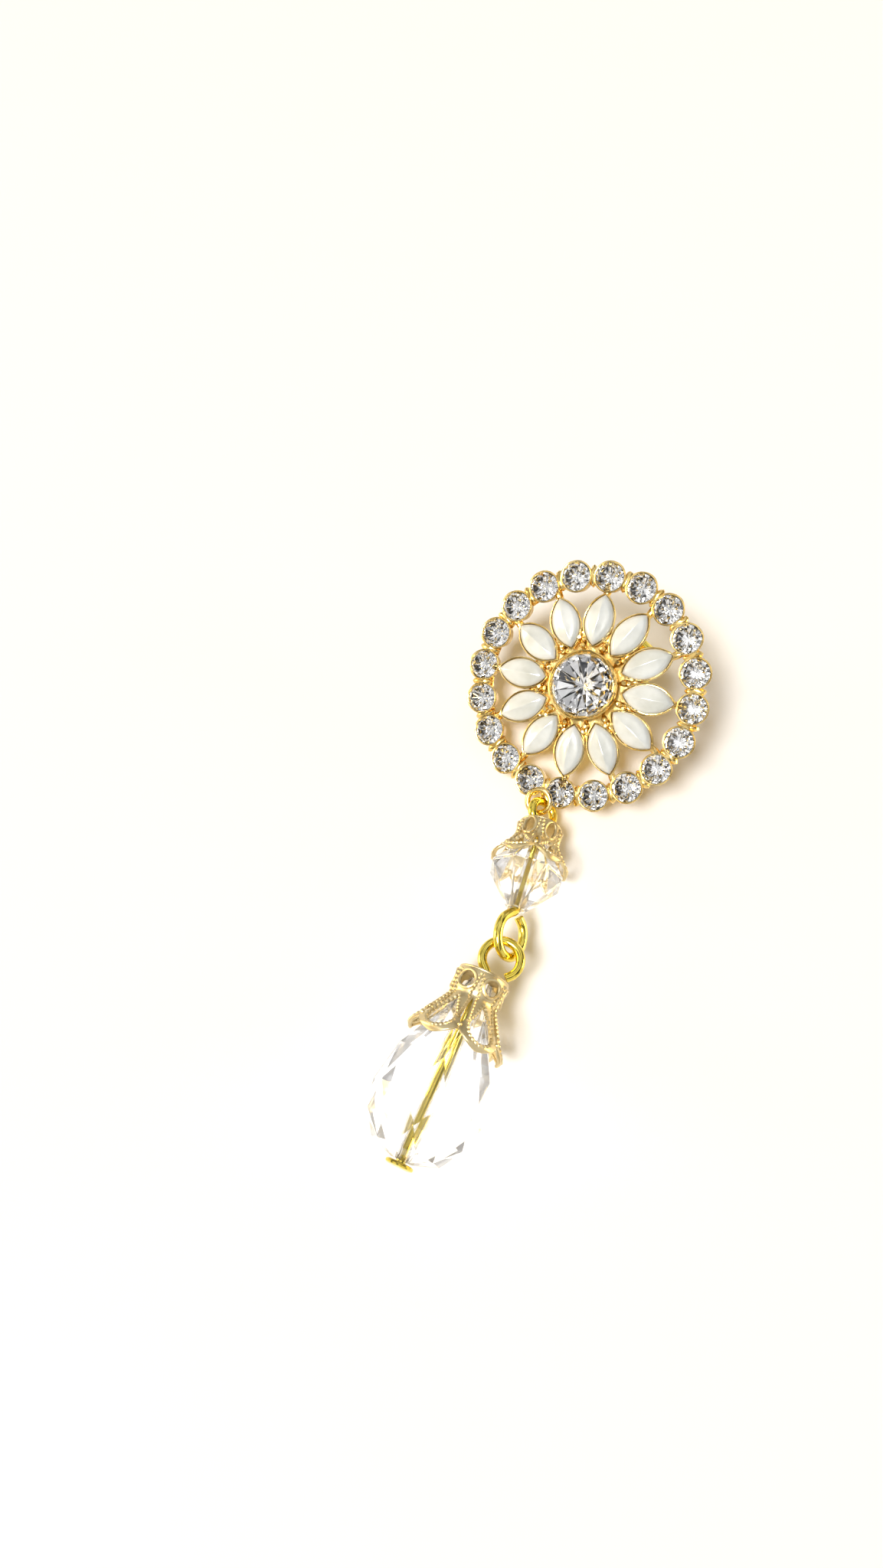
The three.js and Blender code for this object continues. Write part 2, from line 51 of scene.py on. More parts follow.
# Medallion frame: cast and soldered brass with a bright yellow gold plate. Twenty tube cups stand
# on a band, twelve marquise settings fill the wheel, and a heavy bezel holds the middle. Solder
# and small grains fill the corners.
rim_radius, rim_count = 11.3, 20
petal_length, petal_width, petal_count, petal_radius = 5.3, 2.9, 12, 6.8
petal_lift, petal_slope = 0.3, 4
centre_lift, centre_pavilion = 0.86, 1.35
plate_radius, plate_top, plate_bottom = 5.0, -0.25, -1.5
ring_bore, ring_wire, ring_centre, ring_level = 1.84, 0.62, 12.82, 0.15
solder_level, tip_solder_radius, rib_radius, rib_level = -0.42, 9.75, 4.75, -0.1
tilt, lean, spin = 31.2, -116.6, -5.8  # degrees, as it leans on its clip


def corners(node):
    return {tuple(round(c, 7) for c in v.co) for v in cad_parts[node].data.vertices}


def far_end(node, way):
    """Middle of the flat end, or the point, of a CAD node that lies furthest along way."""
    points = [Vector(p) for p in corners(node)]
    reach = max(p.dot(way) for p in points)
    level = 3e-6
    end = [p for p in points if p.dot(way) > reach - level]
    return sum(end, Vector()) / len(end)


to_metres = Matrix.Scale(0.001, 4)
lean_axis = Vector((-sin(radians(lean)), cos(radians(lean)), 0))
medallion_turn = Matrix.Rotation(radians(tilt), 4, lean_axis)
medallion_turn @= Matrix.Rotation(radians(spin), 4, "Z")
medallion_up = medallion_turn.to_3x3() @ Vector((0, 0, 1))
medallion_middle = far_end("centre_stone", -medallion_up)
medallion_middle += medallion_up * (centre_pavilion - centre_lift) * 0.001
medallion = Matrix.Translation(medallion_middle) @ medallion_turn @ to_metres


def joined(parts):
    """Several (points, faces) pairs as one."""
    points, faces = [], []
    for some, polygons in parts:
        start = len(points)
        points += [Vector(p) for p in some]
        faces += [[start + i for i in polygon] for polygon in polygons]
    return points, faces


def moved(part, matrix):
    return [matrix @ Vector(p) for p in part[0]], part[1]


def circle(radius, z, count, turn=0.0):
    step = 2 * pi / count
    angles = [(i + turn) * step for i in range(count)]
    return [Vector((radius * cos(a), radius * sin(a), z)) for a in angles]


def skinned(rings, ends=True, loop=False):
    """Faces over rings of equal point count; each ring is counter-clockwise from its far end."""
    count = len(rings[0])
    points = [p for ring in rings for p in ring]
    pairs = [(i, i + 1) for i in range(len(rings) - 1)] + ([(len(rings) - 1, 0)] if loop else [])
    faces = []
    for low, high in pairs:
        for j in range(count):
            k = (j + 1) % count
            faces.append([low * count + j, low * count + k, high * count + k, high * count + j])
    if ends and not loop:
        last = (len(rings) - 1) * count
        faces += [list(range(count))[::-1], [last + j for j in range(count)]]
    return points, faces


def lathed(profile, sides, loop=False):
    """Turned part from (radius, height) pairs; a profile on the axis starts at its lowest point."""
    return skinned([circle(max(r, 0.001), z, sides) for r, z in profile], not loop, loop)


def ball(radius, middle, rings=6, sides=10):
    rows = [circle(radius * sin(pi * i / rings), middle[2] - radius * cos(pi * i / rings), sides)
            for i in range(1, rings)]
    points, faces = skinned(rows)
    return [Vector((p.x + middle[0], p.y + middle[1], p.z)) for p in points], faces


noise.seed_set(11)  # without a seed of its own the casting would differ from run to run


def lumpy(part, amount, grain):
    """Cast surface: each point wanders a little, the same way wherever it is shared."""
    return [p + noise.noise_vector(p * grain) * amount for p in map(Vector, part[0])], part[1]


class Mask:
    """A node's output that can be used in sums."""

    def __init__(self, finish, socket):
        self.finish, self.socket = finish, socket

    def maths(self, operation, a, b):
        return self.finish.node("ShaderNodeMath", {"operation": operation}, {0: a, 1: b})

    def __add__(self, other):
        return self.maths("ADD", self, other)

    def __sub__(self, other):
        return self.maths("SUBTRACT", self, other)

    def __rsub__(self, other):
        return self.maths("SUBTRACT", other, self)

    def __mul__(self, other):
        return self.maths("MULTIPLY", self, other)

    __radd__, __rmul__ = __add__, __mul__


class Finish:
    """A material, or the studio's world, and the one method that adds its nodes."""

    def __init__(self, name, world=None):
        self.material = world or bpy.data.materials.new(name)
        self.material.use_nodes = True
        self.tree = self.material.node_tree
        self.tree.nodes.clear()

    def node(self, kind, settings=None, inputs=None, out=0):
        node = self.tree.nodes.new(kind)
        for name, value in (settings or {}).items():
            setattr(node, name, value)
        for name, value in (inputs or {}).items():
            if isinstance(value, Mask):
                self.tree.links.new(value.socket, node.inputs[name])
            else:
                node.inputs[name].default_value = value
        return Mask(self, node.outputs[out] if node.outputs else None)

    def grain(self, scale, detail=3.0, rough=0.5):
        """Noise over the object itself, as many waves a metre as scale says."""
        place = self.node("ShaderNodeTexCoord", out="Object")
        return self.node("ShaderNodeTexNoise", inputs={
            "Vector": place, "Scale": scale, "Detail": detail, "Roughness": rough})

    def blend(self, mask, first, second):
        """Mix of two colours; a Mix node's colour sockets are its 6th and 7th, and its 2nd out."""
        colours = {0: mask, 6: (*first, 1), 7: (*second, 1)}
        return self.node("ShaderNodeMix", {"data_type": "RGBA"}, colours, 2)

    def ramp(self, mask, low, high):
        """0 at low, 1 at high."""
        return self.node("ShaderNodeMapRange", {"clamp": True}, {
            "Value": mask, "From Min": low, "From Max": high, "To Min": 0.0, "To Max": 1.0})

    def bump(self, height, distance, strength=1.0):
        return self.node("ShaderNodeBump", inputs={
            "Height": height, "Distance": distance, "Strength": strength})

    def surface(self, **inputs):
        named = {name.replace("_", " "): value for name, value in inputs.items()}
        shader = self.node("ShaderNodeBsdfPrincipled", inputs=named)
        self.show(shader)
        return shader

    def show(self, shader):
        self.node("ShaderNodeOutputMaterial", inputs={"Surface": shader})


def formed(name, part, place):
    """A new object of part, in millimetres, at place, with its faces turned outward."""
    mesh = bpy.data.meshes.new(name)
    mesh.from_pydata([place @ Vector(p) for p in part[0]], [], part[1])
    shape = bmesh.new()
    shape.from_mesh(mesh)
    bmesh.ops.recalc_face_normals(shape, faces=shape.faces)
    shape.to_mesh(mesh)
    shape.free()
    made = bpy.data.objects.new(name, mesh)
    bpy.context.collection.objects.link(made)
    return made


def piece(name, part, place, finish, sharp=38, body="earring", bevel=0.0, stands_for=()):
    made = formed(name, part, place)
    if bevel:
        eased(made, bevel * 0.001, 12)
    dressed(made, finish, sharp, body, stands_for)


def eased(made, width, angle):
    """Breaks a piece's sharp edges by a width in its mesh's own units."""
    edge = made.modifiers.new("edge", "BEVEL")
    edge.width, edge.segments, edge.limit_method = width, 2, "ANGLE"
    edge.angle_limit, edge.use_clamp_overlap = radians(angle), True
    settle(made)


def dressed(made, finish, sharp, body, stands_for=()):
    made.data.materials.clear()
    made.data.materials.append(finish.material)
    made.data.polygons.foreach_set("use_smooth", [sharp > 0] * len(made.data.polygons))
    if sharp:
        made.data.set_sharp_from_angle(angle=radians(sharp))
    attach(made, body)
    if stands_for:
        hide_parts(*stands_for)


def settle(made):
    """Applies a piece's modifiers to its mesh."""
    graph = bpy.context.evaluated_depsgraph_get()
    mesh = bpy.data.meshes.new_from_object(made.evaluated_get(graph))
    made.modifiers.clear()
    made.data = mesh


def around(index, count, radius, z):
    """Place of one of count like pieces round the medallion; two rim cups straddle -Y."""
    angle = radians(-90 + 180 / rim_count + 360 * index / count)
    return Matrix.Rotation(angle, 4, "Z") @ Matrix.Translation((radius, 0, z))


def marquise(length, width, z, scale=1.0, count=12):
    """Outline of two arcs that meet in points on the X axis."""
    half, sag = length / 2, width / 2
    radius = (half * half + sag * sag) / (2 * sag)
    sweep = asin(half / radius)
    points = []
    for side in (1, -1):
        for i in range(count):
            a = sweep * (1 - 2 * i / count) * side
            across = side * (radius * cos(a) - radius + sag)
            points.append(Vector((scale * radius * sin(a), scale * across, z)))
    return points


petal_slant = Matrix.Rotation(radians(petal_slope), 4, "Y")
petal_places = [around(i, petal_count, petal_radius, petal_lift) @ petal_slant
                for i in range(petal_count)]
stone_places = [around(i, rim_count, rim_radius, 0) for i in range(rim_count)]

bright_gold = Finish("bright_cast_gold")
cast_lumps = bright_gold.grain(1400, 4)
wear = bright_gold.grain(350, 2)
deep_yellow, light_yellow = (0.80, 0.54, 0.16), (0.93, 0.72, 0.32)
bright_gold.surface(
    Base_Color=bright_gold.blend(bright_gold.ramp(wear, 0.35, 0.7), deep_yellow, light_yellow),
    Metallic=1.0, Roughness=bright_gold.ramp(wear, 0.2, 0.9) * 0.14 + 0.13,
    Normal=bright_gold.bump(cast_lumps, 0.00005, 0.7))

rim_cup = lathed([(0, -1.62), (1.22, -1.62), (1.38, -1.52), (1.46, -1.1), (1.58, -0.45), (1.65, 0.0),
                  (1.67, 0.07), (1.65, 0.13), (1.59, 0.16), (1.52, 0.14), (1.48, 0.06), (1.48, -0.09),
                  (1.35, -0.35), (0.3, -1.2), (0, -1.25)], 32)
bridge = moved(ball(0.52, (0, 0, 0), 8, 12), Matrix.Diagonal((2.2, 0.95, 1.1, 1)))
tip_solder = moved(ball(0.5, (0, 0, 0), 8, 12), Matrix.Diagonal((1.9, 0.8, 0.85, 1)))
rib = moved(ball(0.42, (0, 0, 0), 8, 10), Matrix.Diagonal((3.2, 0.85, 1.0, 1)))
shaped = []
for i, place in enumerate(stone_places):
    shaped.append(lumpy(moved(rim_cup, place), 0.05, 0.9))
    shaped.append(lumpy(moved(bridge, around(i + 0.5, rim_count, rim_radius, solder_level)), 0.16, 1.3))
band = lathed([(10.45, -1.3), (10.6, -1.44), (11.4, -1.44), (11.6, -1.35), (11.5, -1.27), (10.7, -1.2),
               (10.5, -1.22)], 160, True)
shaped.append(lumpy(band, 0.06, 1.1))
wall = [(-0.74, 0.34, 0.9), (-0.3, 0.46, 0.97), (-0.04, 0.46, 1.0), (0.04, 0.42, 1.0), (0.07, 0.3, 1.0),
        (0.05, 0.18, 1.0), (-0.02, 0.12, 1.0), (-0.42, 0.1, 1.0)]  # height, wider by, scale
setting = skinned([marquise(petal_length + grow, petal_width + grow, z, scale)
                   for z, grow, scale in wall])
corner_grains = [(0.5, 4.15, 0.36, 0.35), (0.412, 4.75, 0.31, 0.36), (0.62, 4.98, 0.33, 0.22),
                 (0.5, 5.5, 0.27, 0.02), (0.58, 5.95, 0.2, -0.15)]  # turn, radius, size, height
for i, place in enumerate(petal_places):
    shaped.append(lumpy(moved(setting, place), 0.04, 1.2))
    tip = around(i, petal_count, tip_solder_radius, solder_level)
    shaped.append(lumpy(moved(tip_solder, tip), 0.12, 1.5))
    for turn, radius, size, level in corner_grains:
        spot = around(i + turn, petal_count, radius, level)
        shaped.append(lumpy(moved(ball(size, (0, 0, 0)), spot), 0.1, 1.9))
    shaped.append(lumpy(moved(rib, around(i + 0.5, petal_count, rib_radius, rib_level)), 0.08, 1.7))
bezel = lathed([(0, -0.95), (2.55, -0.95), (3.0, -0.8), (3.35, -0.2), (3.5, 0.35), (3.56, 0.85),
                (3.62, 0.98), (3.6, 1.08), (3.5, 1.13), (3.38, 1.09), (3.3, 0.98), (3.27, 0.78),
                (3.0, 0.45), (0.3, -0.62), (0, -0.66)], 72)
shaped.append(lumpy(bezel, 0.04, 0.7))
plate = lathed([(0, plate_bottom), (plate_radius - 0.12, plate_bottom),
                (plate_radius, plate_bottom + 0.12), (plate_radius, plate_top - 0.2),
                (plate_radius - 0.2, plate_top), (2.6, plate_top),
                (2.2, -0.8), (0, -0.8)], 96)
shaped.append(lumpy(plate, 0.03, 0.8))
ring_middle = (ring_bore + ring_wire) / 2
ring = skinned([[Matrix.Rotation(2 * pi * i / 40, 4, "Z") @ Vector((ring_middle + p.x, 0, p.y))
                 for p in circle(ring_wire / 2, 0, 12)] for i in range(40)], False, True)
shaped.append(lumpy(moved(ring, Matrix.Translation((0, -ring_centre, ring_level))), 0.02, 1.2))
piece("frame_casting", joined(shaped), medallion, bright_gold,
      stands_for=["medallion_frame"])

# Ear clip: two ears stand on the back plate and carry a riveted pin; the sprung lever turns on
# that pin. It is bent from brass strip and plated the same as the wire. Its flat sole is what
# holds the flower up from the table here.
pin_along, pin_level, pin_width = -6.0, -5.6, 1.0
ear_thickness, ear_width, knuckle_width, run_gap = 0.8, 2.4, 3.2, 0.15
lever_thickness, lever_width, knuckle_wall = 0.9, 6.2, 0.5
sole_start, sole_end, arch_depth, pad_height = 1.6, 5.6, 4.75, 4.3
clip = medallion @ Matrix.Rotation(radians(lean - spin), 4, "Z")


def prism(outline, start, end):
    """Plate across the clip, from its outline along the lever and along the medallion's axis."""
    return skinned([[Vector((s, -across, w)) for s, w in outline] for across in (start, end)])


def pin_arc(radius, start, end, count=18):
    angles = [radians(start + (end - start) * i / (count - 1)) for i in range(count)]
    return [(pin_along + radius * cos(a), pin_level + radius * sin(a)) for a in angles]


ear = [(-plate_radius + 0.25 * ear_width, plate_bottom + 0.29)]
ear += [(-plate_radius + 1.25 * ear_width, plate_bottom + 0.29)] + pin_arc(0.44 * ear_width, 5, -190)
ear_in = knuckle_width / 2 + run_gap
ears = [prism(ear, *sorted((side * ear_in, side * (ear_in + ear_thickness)))) for side in (1, -1)]
rivet_end = ear_in + ear_thickness + 0.3
rivet = [(0, -rivet_end), (0.62, -rivet_end + 0.04), (0.68, -rivet_end + 0.2), (0.5, -rivet_end + 0.3)]
rivet = lathed(rivet + [(r, -z) for r, z in reversed(rivet)], 24)
across_pin = Matrix.Translation((pin_along, 0, pin_level)) @ Matrix.Rotation(pi / 2, 4, "X")
piece("clip_ears", joined(ears), clip, bright_gold, bevel=0.12)
piece("clip_rivet", moved(rivet, across_pin), clip, bright_gold)

lemon_gold = Finish("lemon_gold_plate")
drawn = lemon_gold.grain(900, 3)
deep_lemon, light_lemon = (0.80, 0.60, 0.07), (0.92, 0.75, 0.17)
lemon_gold.surface(
    Base_Color=lemon_gold.blend(lemon_gold.ramp(drawn, 0.3, 0.7), deep_lemon, light_lemon),
    Metallic=1.0, Roughness=drawn * 0.12 + 0.08, Normal=lemon_gold.bump(drawn, 0.00003, 0.5))

slope = sin(radians(tilt)) / cos(radians(tilt))
hang = medallion_middle.z * 1000 / cos(radians(tilt))


def table(along):
    """Height of the table top in the clip's own frame."""
    return slope * along - hang


strip = [(pin_along - 0.04 * arch_depth, pin_level - pin_width / 2 - run_gap - knuckle_wall),
         (pin_along + 0.1 * arch_depth, pin_level - 0.55 * arch_depth),
         (pin_along + 0.46 * arch_depth, pin_level - 0.86 * arch_depth),
         ((pin_along + sole_start) / 2 + 0.25 * arch_depth, pin_level - arch_depth),
         (sole_start, table(sole_start)), (sole_end, table(sole_end)),
         (sole_end + 0.28 * pad_height, table(sole_end) + 0.37 * pad_height),
         (sole_end + 0.26 * pad_height, table(sole_end) + 0.74 * pad_height),
         (sole_end + 0.05 * pad_height, table(sole_end) + 0.95 * pad_height),
         (sole_end - 0.51 * pad_height, table(sole_end) + pad_height)]


def inside_of(points, thickness):
    """The strip's other face, thickness to the left of its path."""
    found = []
    for i, here in enumerate(points):
        before, after = points[max(i - 1, 0)], points[min(i + 1, len(points) - 1)]
        steps = [(a, b) for a, b in ((before, here), (here, after)) if a != b]
        runs = [Vector((b[0] - a[0], b[1] - a[1])) for a, b in steps]
        runs = [run.normalized() for run in runs]
        run = sum(runs, Vector((0, 0))).normalized()
        reach = thickness / sqrt((1 + runs[0].dot(runs[-1])) / 2)
        found.append((here[0] - reach * run.y, here[1] + reach * run.x))
    return found


inner_face = inside_of(strip, lever_thickness)
bore = pin_width / 2 + run_gap
knuckle = bore + knuckle_wall
tube = lathed([(bore, -knuckle_width / 2), (knuckle, -knuckle_width / 2), (knuckle, knuckle_width / 2),
               (bore, knuckle_width / 2)], 40, True)
lever = [moved(tube, across_pin),
         prism(strip[:3] + inner_face[:3][::-1], -knuckle_width / 2, knuckle_width / 2),
         prism(strip[2:] + inner_face[2:][::-1], -lever_width / 2, lever_width / 2)]
piece("lever_strip", joined(lever), clip, lemon_gold, body="clip", bevel=0.14,
      stands_for=["clip_lever"])

# Rim stones and centre stone: pressed and polished clear glass with a silver foil on the back,
# as chatons are made. The crown has a table and eight kites, the pavilion two rows of facets.
rim_width, rim_crown, rim_pavilion, rim_table, rim_leaf = 2.9, 0.55, 1.1, 0.37, 0.17
centre_width, centre_crown, centre_table, centre_leaf = 6.4, 1.1, 0.39, 0.15
girdle_share = 0.035

stone_glass = Finish("foiled_stone_glass")
stone_glass.surface(Base_Color=(1, 1, 1, 1), Roughness=0.0, IOR=1.62, Transmission_Weight=1.0)
foil = Finish("silver_foil")
foil_grain = foil.grain(5000, 2)
foil.surface(
    Base_Color=foil.blend(foil_grain, (0.86, 0.865, 0.88), (0.96, 0.96, 0.97)),
    Metallic=1.0, Roughness=foil_grain * 0.08 + 0.03)


def chaton(width, crown, pavilion, table_share, leaf_share):
    """Cut stone; the shares are the radii of its table and of its leaves' middle over its width."""
    girdle = girdle_share * width
    table_ring = circle(table_share * width, crown, 8, 0.5)
    star_radius = (0.5 + 1.2 * table_share) / 2.2 * width + 0.015 * width
    star = circle(star_radius, girdle + 0.52 * (crown - girdle), 8)
    top, bottom = circle(width / 2, girdle, 16), circle(width / 2, -girdle, 16)
    low = leaves(width, pavilion, leaf_share)
    points = table_ring + star + top + bottom + low + [Vector((0, 0, -pavilion))]
    faces = [list(range(8))]
    for i in range(8):
        after, corner, far = (i + 1) % 8, 16 + 2 * i, 16 + (2 * i + 2) % 16
        faces += [[i, 8 + after, after], [8 + i, corner, corner + 1], [8 + i, corner + 1, i],
                  [i, corner + 1, 8 + after], [8 + after, corner + 1, far]]
    for i in range(16):
        k = (i + 1) % 16
        faces += [[16 + i, 32 + i, 32 + k, 16 + k], [32 + i, 48 + i, 32 + k], [32 + k, 48 + i, 48 + k],
                  [48 + i, 64, 48 + k]]
    return points, faces


def leaves(width, pavilion, share, step=0.05):
    """Middle ring of a pavilion, higher and lower in turn, so that each leaf flashes alone."""
    ring = circle(share * width, (1.8 * share - 0.94) * pavilion, 16, 0.5)
    return [p + Vector((0, 0, step * pavilion * (-1) ** i)) for i, p in enumerate(ring)]


def foil_cup(width, pavilion, leaf_share, gap=0.04, skin=0.03):
    """Thin closed foil behind a pavilion, a hair's breadth off the glass."""
    cone = circle(width / 2, -girdle_share * width, 16) + leaves(width, pavilion, leaf_share)
    cone.append(Vector((0, 0, -pavilion)))
    points, faces = [], []
    for n in range(2):
        start = len(points)
        points += [p - Vector((0, 0, gap + skin * n)) for p in cone]
        for i in range(16):
            k = (i + 1) % 16
            for face in ([i, 16 + i, k], [k, 16 + i, 16 + k], [16 + i, 32, 16 + k]):
                faces.append([start + j for j in (face[::-1] if n == 0 else face)])
    for i in range(16):
        k = (i + 1) % 16
        faces.append([i, k, 33 + k, 33 + i])
    return points, faces


rim_chaton = chaton(rim_width, rim_crown, rim_pavilion, rim_table, rim_leaf)
rim_foil = foil_cup(rim_width, rim_pavilion, rim_leaf)
foils = []
for i, place in enumerate(stone_places):
    turned = place @ Matrix.Rotation(radians(137.5 * i), 4, "Z")
    tipped = turned @ Matrix.Rotation(radians(2.2 * sin(3.7 * i)), 4, "X")
    piece(f"rim_chaton_{i + 1:02d}", moved(rim_chaton, tipped), medallion, stone_glass, sharp=0,
          stands_for=[f"rim_stone_{i + 1:02d}"])
    foils.append(moved(rim_foil, tipped))
centre_place = Matrix.Translation((0, 0, centre_lift)) @ Matrix.Rotation(radians(9), 4, "Z")
centre = chaton(centre_width, centre_crown, centre_pavilion, centre_table, centre_leaf)
piece("centre_chaton", moved(centre, centre_place), medallion, stone_glass, sharp=0,
      stands_for=["centre_stone"])
foils.append(moved(foil_cup(centre_width, centre_pavilion, centre_leaf), centre_place))
piece("stone_foils", joined(foils), medallion, foil, sharp=0)

# Petals: twelve moulded pearl-lacquered cabochons, pointed at both ends, each with a soft ridge
# along its length. They are glued in their settings, so they sit a little unevenly.
petal_dome, petal_foot = 0.75, 0.3

pearl = Finish("pearl_lacquer")
cloud = pearl.grain(420, 3)
swirl = pearl.grain(1500, 2)
pearl.surface(
    Base_Color=pearl.blend(pearl.ramp(cloud, 0.32, 0.68), (0.58, 0.60, 0.56), (0.74, 0.765, 0.75)),
    Roughness=pearl.ramp(swirl, 0.3, 0.8) * 0.1 + 0.16, Coat_Weight=0.7, Coat_Roughness=0.06,
    Specular_IOR_Level=0.7, Sheen_Weight=0.15, Normal=pearl.bump(cloud, 0.00006, 0.4))

petal_rings = [(-petal_foot, 0.93, 1.0), (-0.12, 0.975, 1.0), (0.0, 1.0, 1.0), (0.14, 0.975, 0.965),
               (0.28, 0.93, 0.89), (0.39, 0.875, 0.8), (0.455, 0.83, 0.71), (0.49, 0.79, 0.63),
               (0.53, 0.73, 0.52), (0.58, 0.66, 0.39), (0.64, 0.57, 0.25), (0.7, 0.46, 0.13),
               (0.74, 0.34, 0.05), (petal_dome, 0.2, 0.015)]  # height, share of length and width
for i, place in enumerate(petal_places):
    rings = []
    for z, along, wide in petal_rings:
        ring = marquise(petal_length, petal_width, z, 1.0, 14)
        bow = 0.1 * sin(pi * (z + petal_foot)) * sin(2.3 * i + 0.6)
        rings.append([Vector((p.x * along, p.y * wide + bow * (1 - wide), p.z)) for p in ring])
    sway = Matrix.Rotation(radians(1.6 * sin(5.1 * i)), 4, "Z")
    sway @= Matrix.Rotation(radians(1.5 * cos(4 * i)), 4, "X")
    piece(f"pearl_petal_{i + 1:02d}", moved(skinned(rings), place @ sway), medallion, pearl, sharp=75,
          stands_for=[f"petal_{i + 1:02d}"])

# Upper drop: an eye pin of hard brass wire, bent to a loop at both ends with round pliers. Its
# upper loop hangs in the medallion's ring, and its shank holds a pierced cap and a glass bicone.
wire, wire_shown, fit = 0.8, 0.94, 0.16
bicone_length, bicone_width, bicone_sides, bicone_end, bicone_rise = 8, 7.8, 8, 1.9, 1.9
bead_hole = 1.2
drop_length, drop_width, drop_sides, crown_rise = 18, 11.1, 10, 0.8
low_radius, low_stretch, low_neck = 1.9, 1.185, 0.43
eye_yaw, head_yaw = 3.4, -3.7
drop_height = drop_width / 2 * cos(pi / drop_sides)
crown_height = 2.965
eye_reach = bicone_rise + bicone_length + low_neck + low_radius * low_stretch
eye_rise = degrees(asin((drop_height - crown_height) / eye_reach))  # lifts the low loop into the next


def laid(node, rise, yaw, above):
    """Frame of a drop: its axis from the cap's crown down -Z, found from the bead on it."""
    turn = Matrix.Rotation(radians(yaw), 4, "Z") @ Matrix.Rotation(radians(-90 - rise), 4, "X")
    way = turn.to_3x3() @ Vector((0, 0, 1))
    return Matrix.Translation(far_end(node, way) + way * above * 0.001) @ turn @ to_metres


upper_drop = laid("bicone_bead", eye_rise, eye_yaw, bicone_rise)
lower_drop = laid("teardrop_bead", 0, head_yaw, crown_rise)


def smooth_path(points, steps):
    """Even points along a smooth curve through all the given ones."""
    ends = [points[0] * 2 - points[1]] + points + [points[-1] * 2 - points[-2]]
    found = []
    for a, b, c, d in zip(ends, ends[1:], ends[2:], ends[3:]):
        t1 = sqrt((b - a).length)
        t2 = t1 + sqrt((c - b).length)
        t3 = t2 + sqrt((d - c).length)
        for i in range(steps):
            t = t1 + (t2 - t1) * i / steps
            share = (t - t1) / (t2 - t1)
            ab, bc = a.lerp(b, t / t1), b.lerp(c, share)
            cd = c.lerp(d, (t - t2) / (t3 - t2))
            found.append(ab.lerp(bc, t / t2).lerp(bc.lerp(cd, (t - t1) / (t3 - t1)), share))
    return found + [points[-1]]


def swept(points, radius, sides=16, loop=False, across=None):
    """Round wire along points; radius is a number or a function of the way along."""
    rings, length, out = [], 0.0, None
    last = len(points) - 1
    for i, point in enumerate(points):
        before = points[i - 1] if i or loop else point
        after = points[(i + 1) % len(points)] if i < last or loop else point
        run = (after - before).normalized()
        out = across(point) if across else out
        if out is None:
            out = run.orthogonal()
        out = (out - run * out.dot(run)).normalized()
        side = run.cross(out)
        if i:
            length += (point - points[i - 1]).length
        r = radius(length) if callable(radius) else radius
        rings.append([point + (out * cos(2 * pi * j / sides) + side * sin(2 * pi * j / sides)) * r
                      for j in range(sides)])
    if not loop:
        for end, step in ((0, 1), (-1, -1)):
            middle = points[end]
            run = (points[end + step] - middle).normalized() * -1
            tip = [middle + (p - middle) * 0.72 + run * 0.05 for p in rings[end]]
            rings = [tip] + rings if end == 0 else rings + [tip]
    return skinned(rings, not loop, loop)


def wire_loop(radius, stretch, neck, shift, roll, end, side, start, finish):
    """Bent loop beyond end, up or down as side says, from one angle to another and rolled about Z."""
    middle = end + side * (radius * stretch + neck)
    points = []
    for i in range(12):
        a = radians(start + (finish - start) * i / 11)
        point = Vector((shift + radius * cos(a), 0, middle + radius * stretch * sin(a)))
        points.append(Matrix.Rotation(radians(roll), 3, "Z") @ point)
    return points


def down(*levels):
    """Straight wire along the drop's axis."""
    return [Vector((0, 0, level)) for level in levels]


neck = down(0.38 * wire, -0.25 * wire, -1.12 * wire)
eye_foot = -(bicone_rise + bicone_length)
eye_path = wire_loop(1.4, 0.89, 0.36, -0.3, 34, 0, 1, -48, 222) + neck
eye_path += down(eye_foot + 1.25 * wire, eye_foot - 0.12 * wire)
eye_path += wire_loop(low_radius, low_stretch, low_neck, 0.42, 48, eye_foot, -1, 125, 438)
piece("eye_pin_wire", swept(smooth_path(eye_path, 8), wire_shown / 2), upper_drop, lemon_gold,
      stands_for=["eye_pin"])

# Bead caps: pressed from thin brass, pierced, and washed in a pale antique gold. Six windows
# stand round the crown, six petals spread below, edged with milled beading and a plain rim.
cap_wall, cap_hole, cap_shoulder, cap_edge = 0.28, wire + 2 * fit, 0.35, 0.5
cap_notch, cap_slit, cap_petals = 1.25, 0.32, 6
cutter_start = 1.9  # inside the wall, and clear of the next cutter
large_cap = dict(crown=5.2, waist=4.9, tips=9.7, waist_at=2.75, length=7.5, curl=0.2,
                 window=(1.6, 1.6))
small_cap = dict(crown=4.6, waist=4.9, tips=7.92, waist_at=2.4, length=5.1, curl=0.05,
                 window=(1.1, 1.75))

pale_gold = Finish("pale_antique_gold")
tarnish = pale_gold.grain(700, 4)
stamped = pale_gold.grain(3000, 3)
antique, champagne = (0.58, 0.46, 0.24), (0.75, 0.64, 0.39)
pale_gold.surface(
    Base_Color=pale_gold.blend(pale_gold.ramp(tarnish, 0.3, 0.7), antique, champagne),
    Metallic=1.0, Roughness=pale_gold.ramp(tarnish, 0.2, 0.8) * 0.16 + 0.3,
    Normal=pale_gold.bump(stamped, 0.00004, 0.6))


def cap_outline(cap):
    """Radius and depth along the outer wall, from the shoulder to the petal tips."""
    flare, spread = (cap["tips"] - cap["waist"]) / 2, cap["length"] - cap["waist_at"]
    waist, at, length = cap["waist"] / 2, cap["waist_at"], cap["length"]
    marks = [(cap["crown"] / 2, 0.86 * cap_shoulder), (cap["crown"] / 2 - 0.05, at - cap_edge),
             (waist, at), (waist + 0.3 * flare, at + 0.3 * spread),
             (waist + 0.72 * flare, at + 0.62 * spread),
             (cap["tips"] / 2, length - cap_edge), (cap["tips"] / 2 - cap["curl"], length)]
    return smooth_path([Vector((r, d, 0)) for r, d in marks], 5)


